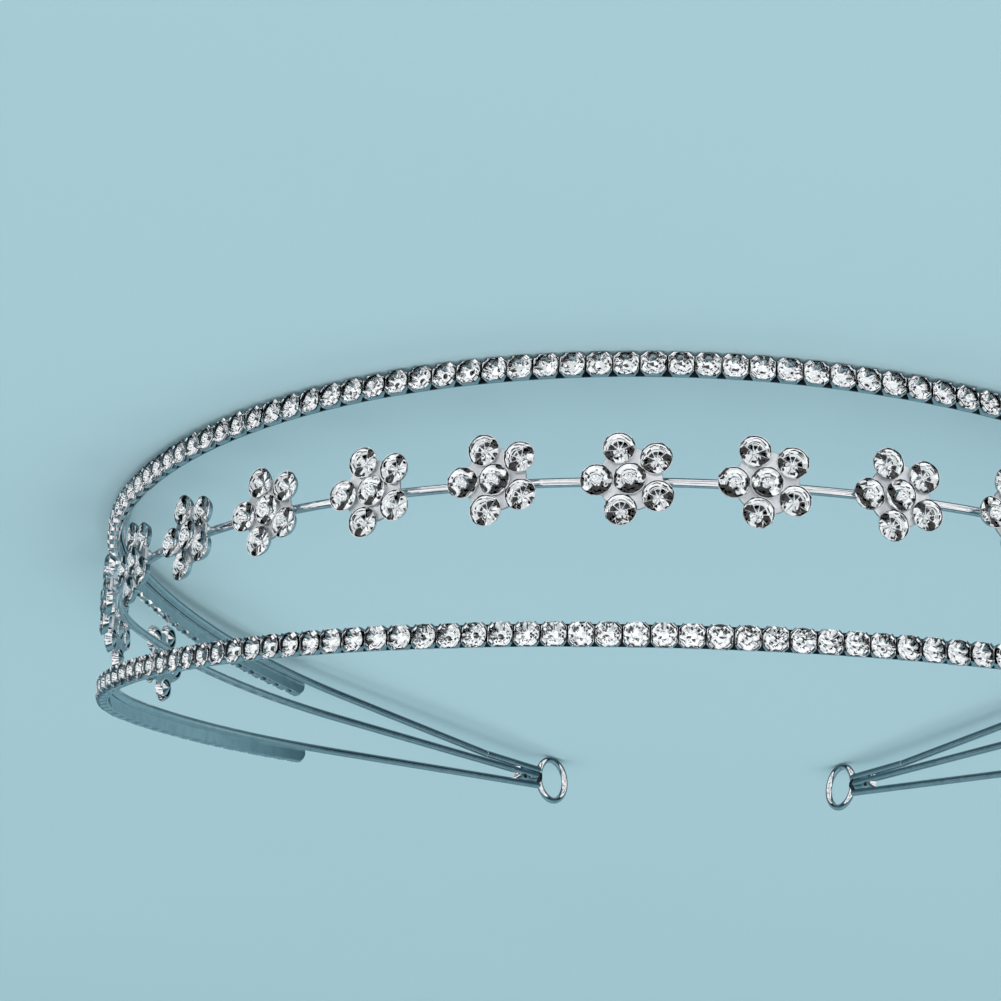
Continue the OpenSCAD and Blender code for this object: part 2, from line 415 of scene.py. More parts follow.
def make_object(name: str, surface: Surface, finishes: Sequence[bpy.types.Material]) -> bpy.types.Object:
    """Put a surface into a new mesh object at the origin.

    Args:
        name: the piece's name.
        surface: its points and faces, in millimetres.
        finishes: the materials that the surface's finish numbers name.

    Returns:
        The new object.
    """
    corners = np.concatenate([f.ravel() for f in surface.faces])
    sizes = np.concatenate([np.full(len(f), f.shape[1]) for f in surface.faces])
    starts = np.concatenate([[0], np.cumsum(sizes)[:-1]])
    finish = np.concatenate([np.full(len(f), m) for f, m in zip(surface.faces, surface.finish)])
    smooth = np.concatenate([np.full(len(f), s.value) for f, s in zip(surface.faces, surface.shade)])
    mesh = bpy.data.meshes.new(name)
    mesh.vertices.add(len(surface.points))
    mesh.vertices.foreach_set("co", (surface.points * MM).astype(np.float32).ravel())
    mesh.loops.add(len(corners))
    mesh.loops.foreach_set("vertex_index", corners.astype(np.int32))
    mesh.polygons.add(len(sizes))
    mesh.polygons.foreach_set("loop_start", starts.astype(np.int32))
    mesh.polygons.foreach_set("material_index", finish.astype(np.int32))
    mesh.polygons.foreach_set("use_smooth", smooth.astype(bool))
    for material in finishes:
        mesh.materials.append(material)
    mesh.update(calc_edges=True)
    mesh.validate()
    mesh.set_sharp_from_angle(angle=math.radians(SHARP_DEGREES))
    piece = bpy.data.objects.new(name, mesh)
    bpy.context.scene.collection.objects.link(piece)
    return piece


def feed(tree: Tree, node: bpy.types.Node, inputs: dict[str | int, object]) -> None:
    """Give a node's inputs their values and links.

    Args:
        tree: the node tree.
        node: the node.
        inputs: value or output socket for each named or numbered input.
    """
    for name, value in inputs.items():
        if isinstance(value, Socket):
            tree.links.new(value, node.inputs[name])
        else:
            node.inputs[name].default_value = value


def add_node(
    tree: Tree,
    kind: str,
    settings: dict[str, object] | None = None,
    inputs: dict[str | int, object] | None = None,
) -> bpy.types.Node:
    """Add a node with its settings, values and links.

    Args:
        tree: the node tree.
        kind: the node's type name.
        settings: properties to set on the node.
        inputs: value or output socket for each named or numbered input.

    Returns:
        The new node.
    """
    node = tree.nodes.new(kind)
    for name, value in (settings or {}).items():
        setattr(node, name, value)
    feed(tree, node, inputs or {})
    return node


def noise(tree: Tree, place: Socket, scale: float, detail: float) -> Socket:
    """Add a noise texture and return its value."""
    inputs = {"Vector": place, "Scale": scale, "Detail": detail}
    return add_node(tree, "ShaderNodeTexNoise", inputs=inputs).outputs["Fac"]


def mapped(
    tree: Tree, value: Socket, low: float, high: float, to_low: float = 0.0, to_high: float = 1.0
) -> Socket:
    """Map the range from low to high onto the one from to_low to to_high, and hold it there."""
    inputs = {"Value": value, "From Min": low, "From Max": high, "To Min": to_low, "To Max": to_high}
    return add_node(tree, "ShaderNodeMapRange", inputs=inputs).outputs["Result"]


def computed(tree: Tree, operation: str, *values: Socket | float) -> Socket:
    """Do one step of arithmetic on numbers and sockets."""
    return add_node(tree, "ShaderNodeMath", {"operation": operation}, dict(enumerate(values))).outputs[0]


def mixed(tree: Tree, factor: Socket, first: object, second: object, blend: str = "MIX") -> Socket:
    """Mix two colours: only the first at a factor of 0, and all of the second at 1."""
    inputs = {"Factor": factor, "A": first, "B": second}
    settings = {"data_type": "RGBA", "blend_type": blend}
    return add_node(tree, "ShaderNodeMix", settings, inputs).outputs["Result"]


def new_material(name: str) -> tuple[bpy.types.Material, Tree, bpy.types.Node]:
    """Make a material with only a Principled shader.

    Args:
        name: the material's name.

    Returns:
        The material, its node tree and its shader.
    """
    material = bpy.data.materials.new(name)
    material.use_nodes = True
    tree = material.node_tree
    tree.nodes.clear()
    shader = add_node(tree, "ShaderNodeBsdfPrincipled")
    add_node(tree, "ShaderNodeOutputMaterial", inputs={"Surface": shader.outputs["BSDF"]})
    return material, tree, shader


@dataclass(frozen=True)
class SilverPlate:
    """Bright silver plate on brass or steel, polished in a barrel.

    The eye sees a near mirror with a faint unevenness left by the polishing, and a slightly duller,
    darker film where fingers and the cloth don't reach.

    Attributes:
        name: material name.
        colour: reflected colour of the clean plate.
        film: colour where the film lies.
        roughness: of the clean plate.
        film_rough: how many times rougher the film is.
        film_grain: size of the patches of film, in millimetres.
        ripple: height of the polishing's unevenness, in millimetres.
        ripple_grain: distance from ripple to ripple, in millimetres.
    """

    name: str
    colour: str = "F4F5F6"
    film: str = "E2E5E7"
    roughness: float = 0.06
    film_rough: float = 2.5
    film_grain: float = 1.6
    ripple: float = 0.0012
    ripple_grain: float = 0.7

    def build(self) -> bpy.types.Material:
        """Make the material."""
        material, tree, shader = new_material(self.name)
        place = add_node(tree, "ShaderNodeTexCoord").outputs["Object"]
        patches = noise(tree, place, 1.0 / (self.film_grain * MM), 3.0)
        film = mapped(tree, patches, 0.45, 0.75)
        ripples = noise(tree, place, 1.0 / (self.ripple_grain * MM), 1.0)
        relief = {"Strength": 0.5, "Distance": self.ripple * MM, "Height": ripples}
        look = {
            "Base Color": mixed(tree, film, linear(self.colour), linear(self.film)),
            "Roughness": mapped(tree, patches, 0.4, 0.8, self.roughness, self.roughness * self.film_rough),
            "Normal": add_node(tree, "ShaderNodeBump", inputs=relief).outputs["Normal"],
            "Metallic": 1.0,
        }
        feed(tree, shader, look)
        return material


@dataclass(frozen=True)
class CutCrystal:
    """Lead-free crystal glass, machine cut and polished: clear, with a strong glitter.

    Attributes:
        name: material name.
        colour: of the light that it lets through.
        ior: of crystal glass.
    """

    name: str = "cut_crystal_glass"
    colour: str = "FBFDFE"
    ior: float = 1.56

    def build(self) -> bpy.types.Material:
        """Make the material."""
        material, tree, shader = new_material(self.name)
        look = {
            "Base Color": linear(self.colour),
            "Roughness": 0.0,
            "IOR": self.ior,
            "Transmission Weight": 1.0,
        }
        feed(tree, shader, look)
        return material


@dataclass(frozen=True)
class MirrorFoil:
    """Silver foil fused to the back facets of a stone, which throws the light back out.

    Attributes:
        name: material name.
        colour: reflected colour.
        roughness: of the foil.
    """

    name: str = "silver_foil_on_glass"
    colour: str = "F8F9F9"
    roughness: float = 0.01

    def build(self) -> bpy.types.Material:
        """Make the material."""
        material, tree, shader = new_material(self.name)
        look = {"Base Color": linear(self.colour), "Metallic": 1.0, "Roughness": self.roughness}
        feed(tree, shader, look)
        return material


@dataclass(frozen=True)
class PaperFloor:
    """Matte pale blue background paper, with faint clouds in its colour.

    Attributes:
        name: material name.
        colour: of the paper.
        cloud: its colour in the clouds.
    """

    name: str = "matte_background_paper"
    colour: str = "A9C8CD"
    cloud: str = "A6C4CD"

    def build(self) -> bpy.types.Material:
        """Make the material."""
        material, tree, shader = new_material(self.name)
        clouds = noise(tree, add_node(tree, "ShaderNodeTexCoord").outputs["Object"], 9.0, 2.0)
        colour = mixed(tree, clouds, linear(self.colour), linear(self.cloud))
        feed(tree, shader, {"Base Color": colour, "Roughness": 0.9, "Specular IOR Level": 0.1})
        return material


@dataclass(frozen=True)
class Finishes:
    """All the materials of the headband."""

    row: bpy.types.Material
    wire: bpy.types.Material
    setting: bpy.types.Material
    crystal: bpy.types.Material
    foil: bpy.types.Material
    # Painted shade for gaps, hidden faces and recesses, and the dark colour of the solder drops
    dulled: bpy.types.Material
    plate: bpy.types.Material

    @classmethod
    def build(cls) -> Finishes:
        """Make them all."""
        return cls(
            row=SilverPlate("silver_plated_brass_cups").build(),
            wire=SilverPlate("silver_plated_steel_wire", roughness=0.05, ripple=0.0008).build(),
            setting=SilverPlate("silver_plated_brass_settings", colour="F6F6F7", roughness=0.05).build(),
            crystal=CutCrystal().build(),
            foil=MirrorFoil().build(),
            # Dark silver: painted shade in the gaps between cups, on hidden wire faces and in cup recesses;
            # also the dark colour of the end loops' solder drops
            dulled=SilverPlate("silver_plate_dulled_in_the_gaps", "2C3236", "14181B", 0.25).build(),
            plate=SilverPlate("silver_plate_on_a_stamped_plate", "E6E9EB", "D2D6DA", 0.24).build(),
        )


@dataclass(frozen=True)
class BrilliantCut:
    """Round stone with a table, star facets, main facets, girdle facets and a pointed or flat back.

    Attributes:
        radius: of the widest line.
        table: radius of the flat top.
        crown: height of the top above the widest line.
        pavilion: depth of the point below it.
        cut_off: radius of the flat at the back. 0 leaves the point.
        girdle: half thickness of the edge.
        mains: main facets round the stone.
        star_reach: radius of a star facet's tip, from the table (0) to the edge (1).
        star_rise: its height, from the edge (0) to the table (1).
        tip_reach: radius of the lower tips of a pointed back, as a share of the stone's.
        tip_depth: their depth, as a share of the point's.
    """

    radius: float
    table: float
    crown: float
    pavilion: float
    cut_off: float = 0.0
    girdle: float = 0.04
    mains: int = 8
    star_reach: float = 0.42
    star_rise: float = 0.66
    tip_reach: float = 0.12
    tip_depth: float = 0.9

    def surface(self) -> Surface:
        """Build the stone with its girdle at z = 0, its front of glass and its back of foil.

        Rings of points lie at r(cos a, sin a): the table's corners, the tips of the star facets half a step
        on, the upper and lower girdle at half steps, the lower tips of the back's main facets, and the point.

        Returns:
            A closed surface of flat facets.
        """
        n = self.mains
        step = TAU / n
        corner = np.arange(n) * step
        between = corner + step / 2
        around = np.arange(2 * n) * step / 2
        star_radius = self.table + self.star_reach * (self.radius - self.table)
        star_height = self.girdle + (self.crown - self.girdle) * self.star_rise
        tip_radius = self.cut_off or self.tip_reach * self.radius
        tip_height = -self.pavilion * (1.0 if self.cut_off else self.tip_depth)
        rings = [
            ring(self.table, corner, self.crown),
            ring(star_radius, between, star_height),
            ring(self.radius, around, self.girdle),
            ring(self.radius, around, -self.girdle),
            ring(tip_radius, between, tip_height),
        ]
        i = np.arange(n)
        table, star, upper, lower, tips, point = 0, n, 2 * n, 4 * n, 6 * n, 7 * n
        even, odd, after = 2 * i, 2 * i + 1, (2 * i + 2) % (2 * n)
        next_i, before_i = (i + 1) % n, (i - 1) % n
        front = [
            (table + i)[None, :],
            np.stack([table + i, star + i, table + next_i], axis=-1),
            np.stack([table + i, star + before_i, upper + even, star + i], axis=-1),
            np.stack([star + i, upper + even, upper + odd], axis=-1),
            np.stack([star + i, upper + odd, upper + after], axis=-1),
            grid_faces(2, 2 * n, close_columns=True)[:, ::-1] + upper,
        ]
        back = [
            np.stack([lower + even, tips + i, lower + odd], axis=-1),
            np.stack([lower + odd, tips + i, lower + after], axis=-1),
        ]
        if self.cut_off:
            back.append(np.stack([lower + even, tips + before_i, tips + i], axis=-1))
            back.append((tips + i)[None, ::-1])
        else:
            rings.append(np.array([[0.0, 0.0, -self.pavilion]]))
            back.append(np.stack([lower + even, tips + before_i, np.full(n, point), tips + i], axis=-1))
        return Surface(np.concatenate(rings), front + back, [GLASS] * len(front) + [FOIL] * len(back))


@dataclass(frozen=True)
class ClawCup:
    """Square cup of thin brass with cut corners, and a claw at each corner that grips the stone.

    Attributes:
        length: size along the row.
        width: size across the row.
        corner: cut at the corners.
        back: distance of its back from the wire's middle.
        rim: the same for its rim.
        wall: thickness of its wall.
        claw_width: width of a claw.
        claw_top: distance of a claw's tip from the wire's middle.
    """

    length: float = 2.74
    width: float = 2.62
    corner: float = 0.5
    back: float = 0.55
    rim: float = 1.46
    wall: float = 0.1
    claw_width: float = 0.56
    claw_top: float = 1.95

    def octagon(self, inset: float, height: float) -> Array:
        """Points of the cup's outline, inset by a distance."""
        x, y = self.length / 2 - inset, self.width / 2 - inset
        c = self.corner - 0.4 * inset
        flat = [(x, c - y), (x, y - c), (x - c, y), (c - x, y)]
        return np.array([(*p, height) for p in flat] + [(-px, -py, height) for px, py in flat])

    def shell(self) -> Surface:
        """Build the cup's walls: rings of its outline from the back, over the rim and down inside.

        The walls that face the next cup, and the floor, have painted shade: a dark finish where shade falls
        between the cups and under the stone.
        """
        rings = [
            self.octagon(0.22, self.back),
            self.octagon(0.06, self.back + 0.16),
            self.octagon(0.0, self.rim - 0.25),
            self.octagon(0.03, self.rim),
            self.octagon(self.wall, self.rim - 0.03),
            self.octagon(self.wall + 0.75, self.back + 0.06),
        ]
        sides, outer_bands = 8, 3
        back = np.arange(sides)[None, ::-1]
        floor = (len(rings) - 1) * sides + np.arange(sides)[None, :]
        walls = grid_faces(len(rings), sides, close_columns=True)
        band, side = np.divmod(np.arange(len(walls)), sides)
        # Walls facing the next cup and the cup's floor get painted shade
        dull = (side % 4 == 0) & (band < outer_bands)
        faces = [walls[~dull], walls[dull], back, floor]
        return Surface(np.concatenate(rings), faces, [BRIGHT, PAINTED_SHADE_AND_SOLDER, BRIGHT, PAINTED_SHADE_AND_SOLDER])

    def claws(self) -> Surface:
        """Build four claws: each is a strip that rises from a corner and bends in over the stone.

        Its outer and inner lines are (distance from the cup's middle, height), from below to the tip.
        """
        reach = (self.length / 2 + self.width / 2 - self.corner) / math.sqrt(2.0)
        rim, top = self.rim, self.claw_top
        outer = [(-0.02, rim - 0.5), (0.03, rim + 0.12), (-0.13, rim + 0.36), (-0.50, top)]
        inner = [(-0.14, rim - 0.5), (-0.12, rim + 0.06), (-0.24, rim + 0.24), (-0.52, top - 0.12)]
        half = self.claw_width / 2 * np.array([1.0, 1.0, 1.0, 0.72])
        corners = []
        for line, side in ((outer, -1.0), (outer, 1.0), (inner, 1.0), (inner, -1.0)):
            distance, height = np.array(line).T
            corners.append(np.stack([reach + distance, side * half, height], axis=-1))
        skin = grid_faces(len(outer), 4, close_columns=True)[:, ::-1]
        tip = (len(outer) - 1) * 4 + np.arange(4)[None, ::-1]
        claw = Surface(np.stack(corners, axis=1).reshape(-1, 3), [skin, tip])
        angle = np.radians([45.0, 135.0, 225.0, 315.0])
        along = ring(1.0, angle, 0.0)
        up = ring(1.0, angle + math.pi / 2, 0.0)
        out = np.broadcast_to([0.0, 0.0, 1.0], along.shape)
        return claw.placed(Spots(np.zeros((4, 3)), along, up, out))


def uneven(count: int, size: float, seed: int) -> Array:
    """Small fixed deviations of handwork, evenly spread between -size and size."""
    return np.random.default_rng(seed).uniform(-size, size, count)


@dataclass(frozen=True)
class StoneRow:
    """A wire with a chain of claw cups soldered along its outer side, and their stones.

    Attributes:
        node: the part's node that it stands for.
        row: its place.
        count: number of cups.
        slide: how far the chain is off the middle, towards +X.
        seed: picks its small deviations.
        wire_end: wire length at which it meets the end loop's tip.
        pitch: distance from cup to cup.
        wire: diameter of the wire.
        cup_lift: how far the cups lie off the wire, across the row.
        cup: the cup.
        cut: the stone.
        stone_level: how far the stone's widest line lies above the cup's rim.
        cup_tilt: largest tilt of a cup, in degrees.
        stone_tilt: the same for a stone.
    """

    node: str
    row: Row
    count: int
    slide: float
    seed: int
    wire_end: float
    pitch: float = 2.8
    wire: float = 1.0
    cup_lift: float = 0.8
    cup: ClawCup = ClawCup()
    cut: BrilliantCut = BrilliantCut(radius=1.33, table=0.72, crown=0.44, pavilion=0.86, cut_off=0.4)
    stone_level: float = 0.06
    cup_tilt: float = 1.2
    stone_tilt: float = 3.5

    def places(self) -> Array:
        """Wire lengths at the middles of the cups."""
        return (np.arange(self.count) - (self.count - 1) / 2) * self.pitch + self.slide

    def metal(self) -> Surface:
        """Build the wire, with painted shade where the chain hides it, the strip, the cups and their claws.
        """
        s = self.places()
        path = self.row.path(-self.wire_end, self.wire_end)
        profile = circle(self.wire / 2, 16)
        place = np.linspace(-self.wire_end, self.wire_end, len(path.origin))[:-1, None]
        # Wire faces behind the chain of cups get painted shade
        hidden = (place > s[0]) & (place < s[-1]) & (profile[:, 1] > 0.3 * self.wire)[None]
        wire = swept(path, profile, Shade.SMOOTH, hidden)
        tilt = [uneven(self.count, self.cup_tilt, self.seed + extra) for extra in (0, 1)]
        spots = self.row.spots(s).moved(y=self.cup_lift).tipped(*tilt)
        return joined([wire, self.strip(), self.cup.shell().placed(spots), self.cup.claws().placed(spots)])

    def strip(self) -> Surface:
        """Build the strip that the cups' backs make, with corners rounded by 0.06 and round ends.

        At a distance d from its end that is less than its half height h, it reaches only
        h sqrt(1 - (1 - d / h)^2) to both sides.
        """
        low, high, inner, outer, cut = -0.38, 1.98, 0.42, 0.62, 0.06
        half, middle = (high - low) / 2, (high + low) / 2
        reach = self.places()[[0, -1]] + np.array([-1.0, 1.0]) * self.cup.length / 2
        rounding = half * (1.0 - np.cos(np.linspace(0.0, math.pi / 2, 7)))
        straight = np.arange(reach[0] + half, reach[1] - half, 0.9)[1:-1]
        along = np.concatenate([reach[0] + rounding, straight, (reach[1] - rounding)[::-1]])
        near = np.minimum(along - reach[0], reach[1] - along)
        share = np.sqrt(np.clip(1.0 - (1.0 - np.minimum(near / half, 1.0)) ** 2, 0.02, 1.0))
        lower_side = [(low, outer), (low, inner + cut), (low + cut, inner)]
        upper_side = [(high - cut, inner), (high, inner + cut), (high, outer)]
        outline = np.array(lower_side + upper_side)
        profile = np.repeat(outline[None], len(along), axis=0)
        profile[..., 0] = middle + (profile[..., 0] - middle) * share[:, None]
        # The strip's outer side, seen in the gaps between the cups, gets painted shade
        outer_side = np.arange(len(outline)) == len(outline) - 1
        return swept(self.row.spots(along), profile, Shade.FLAT, outer_side[None])

    def stones(self) -> Surface:
        """Build the stones, each turned and tipped a little in its cup."""
        spots = self.row.spots(self.places()).moved(y=self.cup_lift, z=self.cup.rim + self.stone_level)
        spots = spots.turned(uneven(self.count, HALF_FACET, self.seed + 2))
        tilt = [uneven(self.count, self.stone_tilt, self.seed + extra) for extra in (3, 4)]
        return self.cut.surface().placed(spots.tipped(*tilt))

    def build(self, finishes: Finishes) -> list[bpy.types.Object]:
        """Make the metal and the stones, and let them stand for the node."""
        metal = make_object(f"{self.node}_metal", self.metal(), [finishes.row, finishes.dulled])
        stones = make_object(f"{self.node}_stones", self.stones(), [finishes.crystal, finishes.foil])
        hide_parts(self.node)
        return [metal, stones]


@dataclass(frozen=True)
class BareWire:
    """The middle wire, which carries only the flowers.

    Attributes:
        node: the part's node that it stands for.
        row: its place.
        wire_end: wire length at which it meets the end loop's tip.
        diameter: of the wire.
    """

    node: str
    row: Row
    wire_end: float
    diameter: float = 1.0

    def build(self, finishes: Finishes) -> list[bpy.types.Object]:
        """Make the wire and let it stand for its node."""
        path = self.row.path(-self.wire_end, self.wire_end)
        surface = swept(path, circle(self.diameter / 2, 20), Shade.SMOOTH)
        piece = make_object(f"{self.node}_drawn", surface, [finishes.wire, finishes.dulled])
        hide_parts(self.node)
        return [piece]


@dataclass(frozen=True)
class Flower:
    """One flower: a thin plate with a middle cup and five petal cups, their stones and two solder drops.

    Attributes:
        number: from 1, at the -X end.
        row: the wire that it is soldered to.
        s: wire length at its middle.
        lift: how far it sits off the wire, across the row.
        turn: degrees that it is turned about its outward axis.
        petal_distance: distance of a petal from the middle.
        petals: number of petals.
        plate_radius: of the plate between the petals.
        plate_back: distance of its back from the wire's middle.
        plate_front: the same for its front.
        plate_meets: distance from a cup's middle at which it meets the cup.
        cup_wall: closed profile (radius, height) of a cup: outside from the back to the rim, over the rim
            and down to the seat.
        cup_inside: the bands of that profile, inside the cup, that have painted shade.
        cup_tilt: largest tilt of a cup, in degrees.
        stone_tilt: the same for a stone in its cup.
        girdle_level: distance of the stones' widest line from the wire's middle.
        short: cut of the two stones that lie over the wire.
        deep: cut of the other four.
        solder_spots: for each drop of solder its place along the wire and across it.
    """

    number: int
    row: Row
    s: float
    lift: float
    turn: float
    petal_distance: float = 3.48
    petals: int = 5
    plate_radius: float = 3.4
    plate_back: float = 1.1
    plate_front: float = 1.4
    plate_meets: float = 1.33
    cup_wall: tuple[tuple[float, float], ...] = (
        (1.12, 1.02), (1.33, 1.0), (1.56, 1.35), (1.735, 1.72),
        (1.72, 1.76), (1.68, 1.75), (1.67, 1.65), (1.22, 1.12),
    )
    cup_inside: tuple[int, ...] = (5, 6)
    cup_tilt: float = 1.5
    stone_tilt: float = 2.0
    girdle_level: float = 1.71
    short: BrilliantCut = BrilliantCut(radius=1.65, table=1.15, crown=0.28, pavilion=1.0, cut_off=0.25)
    deep: BrilliantCut = BrilliantCut(radius=1.65, table=1.2, crown=0.28, pavilion=1.15)
    solder_spots: tuple[tuple[float, float], ...] = ((1.74, 0.1), (-2.52, -0.1))

    @property
    def label(self) -> str:
        """Two-digit number, as in the node names."""
        return f"{self.number:02d}"

    def middle(self) -> Spots:
        """Place of the flower's middle on its wire, turned with the flower."""
        return self.row.spots(self.s).moved(y=self.lift).turned(np.array([self.turn]))

    def cup_spots(self) -> Spots:
        """Places of the middle cup and the petal cups, tipped a little by hand.

        Returns:
            The middle first, then the petals round from the wire's +X side.
        """
        base = self.middle()
        angle = np.arange(self.petals) * TAU / self.petals
        offsets = np.concatenate([np.zeros((1, 3)), ring(self.petal_distance, angle, 0.0)])
        x, y, _ = offsets.T[..., None]
        count = self.petals + 1
        axes = [np.repeat(axis, count, axis=0) for axis in (base.along, base.up, base.out)]
        spots = Spots(base.origin + x * base.along + y * base.up, *axes)
        return spots.tipped(*(uneven(count, self.cup_tilt, seed + self.number) for seed in (100, 150)))

    def cups(self) -> Surface:
        """Turn the round cups' wall, with painted shade inside the cup."""
        cup = revolved(self.cup_wall, 28)
        bands = cup.faces[0].reshape(len(self.cup_wall), -1, 4)
        # Bands inside the cup get painted shade
        inside = np.isin(np.arange(len(self.cup_wall)), self.cup_inside)
        faces = [bands[~inside].reshape(-1, 4), bands[inside].reshape(-1, 4)]
        cup = Surface(cup.points, faces, [BRIGHT, PAINTED_SHADE_AND_SOLDER], [Shade.SMOOTH, Shade.SMOOTH])
        return cup.placed(self.cup_spots())

    def plate(self) -> Surface:
        """Build the plate as a polar surface that stops at the cups.

        At angle a from a petal at distance d, the plate reaches the smaller of its own radius and
        d cos a - sqrt(c^2 - (d sin a)^2), where c is the radius at which it meets a petal cup.
        """
        meets, back, front = self.plate_meets, self.plate_back, self.plate_front
        segments = 24 * self.petals
        angle = np.arange(segments) * TAU / segments
        nearest = (angle + math.pi / self.petals) % (TAU / self.petals) - math.pi / self.petals
        across = self.petal_distance * np.sin(nearest)
        room = meets**2 - across**2
        near = self.petal_distance * np.cos(nearest) - np.sqrt(np.maximum(room, 0.0))
        reach = np.where(room > 0, np.minimum(self.plate_radius, near), self.plate_radius)
        rings = [
            ring(meets, angle, back),
            ring(reach - 0.04, angle, back),
            ring(reach, angle, back + 0.05),
            ring(reach, angle, front - 0.05),
            ring(reach - 0.04, angle, front),
            ring(meets, angle, front),
        ]
        faces = grid_faces(len(rings), segments, close_rows=True, close_columns=True)
        return Surface(np.concatenate(rings), [faces], [STAMPED]).placed(self.middle())

    def solder(self) -> Surface:
        """Build the two drops of solder between the wire and the plate."""
        base = self.row.spots(self.s)
        half_sizes = (0.62, 0.52, 0.46)
        drops = [ellipsoid((x, y, 0.78), half_sizes, wave=0.12) for x, y in self.solder_spots]
        return joined([drop.placed(base) for drop in drops])

    def stones(self) -> Surface:
        """Build the six stones. The two that lie over the wire have shorter backs."""
        count = self.petals + 1
        spots = self.cup_spots().moved(z=self.girdle_level)
        spots = spots.turned(uneven(count, HALF_FACET, 200 + self.number))
        spots = spots.tipped(*(uneven(count, self.stone_tilt, seed + self.number) for seed in (300, 400)))
        over_wire, beside = spots.picked(slice(None, 2)), spots.picked(slice(2, None))
        return joined([self.short.surface().placed(over_wire), self.deep.surface().placed(beside)])

    def build(self, finishes: Finishes) -> list[bpy.types.Object]:
        """Make the setting and the stones, and let them stand for their nodes."""
        metal = joined([self.cups(), self.plate(), self.solder()])
        silver = [finishes.setting, finishes.dulled, finishes.plate]
        setting = make_object(f"flower_{self.label}_metal", metal, silver)
        stones = make_object(f"flower_{self.label}_stones", self.stones(), [finishes.crystal, finishes.foil])
        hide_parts(f"flower_setting_{self.label}")
        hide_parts(f"flower_stones_{self.label}")
        return [setting, stones]


@dataclass(frozen=True)
class EndLoop:
    """Ring of round wire soldered to the tips of the three wires.

    Attributes:
        node: the part's node that it stands for.
        side: 1 at +X and -1 at -X.
        middle_row: place of the middle wire.
        upper_row: place of the upper wire.
        lower_spread: degrees between the lower and the middle wire at the end.
        wire_end: wire length at which the tips start.
        radius: of the ring's centre line.
        ring_wire: diameter of the ring's wire.
        hole: radius of the hole, which is worn flat inside.
        wire: diameter of the three wires.
        lower_drop: distance of the lower wire below the middle one at the ring.
        web: how far the solder web reaches back along the wires and into the ring.
        drops: middle, with x away from the ring, half sizes and unevenness of each drop of solder.
    """

    node: str
    side: int
    middle_row: Row
    upper_row: Row
    lower_spread: float
    wire_end: float
    radius: float = 3.0
    ring_wire: float = 0.95
    hole: float = 2.6
    wire: float = 1.0
    lower_drop: float = 0.94
    web: tuple[float, float] = (5.6, 0.2)
    drops: tuple[tuple[tuple[float, ...], tuple[float, ...], float], ...] = (
        ((0.1, 0.2, 0.0), (0.75, 1.25, 0.55), 0.08),
        ((0.2, -1.05, 0.1), (0.6, 0.5, 0.5), 0.1),
        ((3.4, 0.55, 0.0), (0.55, 0.4, 0.5), 0.1),
    )

    @property
    def reach(self) -> float:
        """Wire length at which the tips meet the ring."""
        return self.middle_row.curve.half_length - self.radius

    def eye(self) -> Surface:
        """Build the ring in the upright plane through the wire's end.

        At angle a round the ring and angle b round its wire the distance from the middle is
        R + r cos b, and never less than the radius of the hole.
        """
        end = np.array([self.side * self.middle_row.curve.half_length])
        heading = self.middle_row.curve.at(end)[2]
        along = ring(1.0, heading, 0.0)
        up = np.array([[0.0, 0.0, 1.0]])
        steps, sides = 64, 16
        a = (np.arange(steps) * TAU / steps)[:, None]
        b = (np.arange(sides) * TAU / sides)[None, :]
        distance = np.maximum(self.radius + self.ring_wire / 2 * np.cos(b), self.hole)
        points = ring(distance, a, self.ring_wire / 2 * np.sin(b))
        faces = grid_faces(steps, sides, close_rows=True, close_columns=True)[:, ::-1]
        surface = Surface(points.reshape(-1, 3), [faces], shade=[Shade.SMOOTH])
        return surface.placed(Spots(self.middle_row.spots(end).origin, along, up, np.cross(along, up)))

    def tip(self, row: Row, start_drop: float = 0.0, end_drop: float = 0.0) -> Surface:
        """Build one wire's tip, bent evenly from one distance below its row to another.

        Args:
            row: the row that it follows.
            start_drop: distance below the row where it starts.
            end_drop: distance below the row at the ring.

        Returns:
            A closed surface.
        """
        count = 14
        path = row.spots(self.side * np.linspace(self.wire_end, self.reach, count))
        drop = np.linspace(start_drop, end_drop, count)[:, None]
        path = Spots(path.origin - drop * path.up, path.along, path.up, path.out)
        profile = circle(self.wire / 2, 16)
        return swept(path, profile if self.side > 0 else profile[::-1], Shade.SMOOTH)

    def solder(self) -> Surface:
        """Build the web of solder between the tips and the dark drops where they meet the ring.

        The web thins out to an edge over its first quarter, as the root of the distance from its start.
        """
        base = self.middle_row.spots(self.side * self.reach)
        back, past = self.web
        path = self.middle_row.path(self.side * (self.reach - back), self.side * (self.reach + past), 0.5)
        share = np.linspace(0.0, 1.0, len(path.origin))
        top = 1.45 - 0.5 * share
        low = -1.35 + 0.35 * share
        grow = np.sqrt(np.minimum(0.01 + 4.0 * share, 1.0))
        thick = grow * (0.34 + 0.06 * np.sin(share * 9.0))
        around = np.arange(12) * TAU / 12
        y = (top + low)[:, None] / 2 + (top - low)[:, None] / 2 * np.cos(around)
        profile = np.stack([y, thick[:, None] * np.sin(around)], axis=-1)
        pieces = [swept(path, profile if self.side > 0 else profile[:, ::-1], Shade.SMOOTH)]
        for (x, y, z), half_sizes, wave in self.drops:
            drop = ellipsoid((-self.side * x, y, z), half_sizes, wave)
            pieces.append(Surface(drop.points, drop.faces, [PAINTED_SHADE_AND_SOLDER], drop.shade).placed(base))
        return joined(pieces)

    def build(self, finishes: Finishes) -> list[bpy.types.Object]:
        """Make the loop and let it stand for its node."""
        curve = self.middle_row.curve
        depth = curve.depth - float(curve.at(self.wire_end)[1])
        spread = depth * math.sin(math.radians(self.lower_spread))
        tips = [
            self.tip(self.middle_row),
            self.tip(self.middle_row, spread, self.lower_drop * self.wire),
            self.tip(self.upper_row),
        ]
        surface = joined([self.eye(), *tips, self.solder()])
        piece = make_object(f"{self.node}_drawn", surface, [finishes.wire, finishes.dulled])
        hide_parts(self.node)
        return [piece]


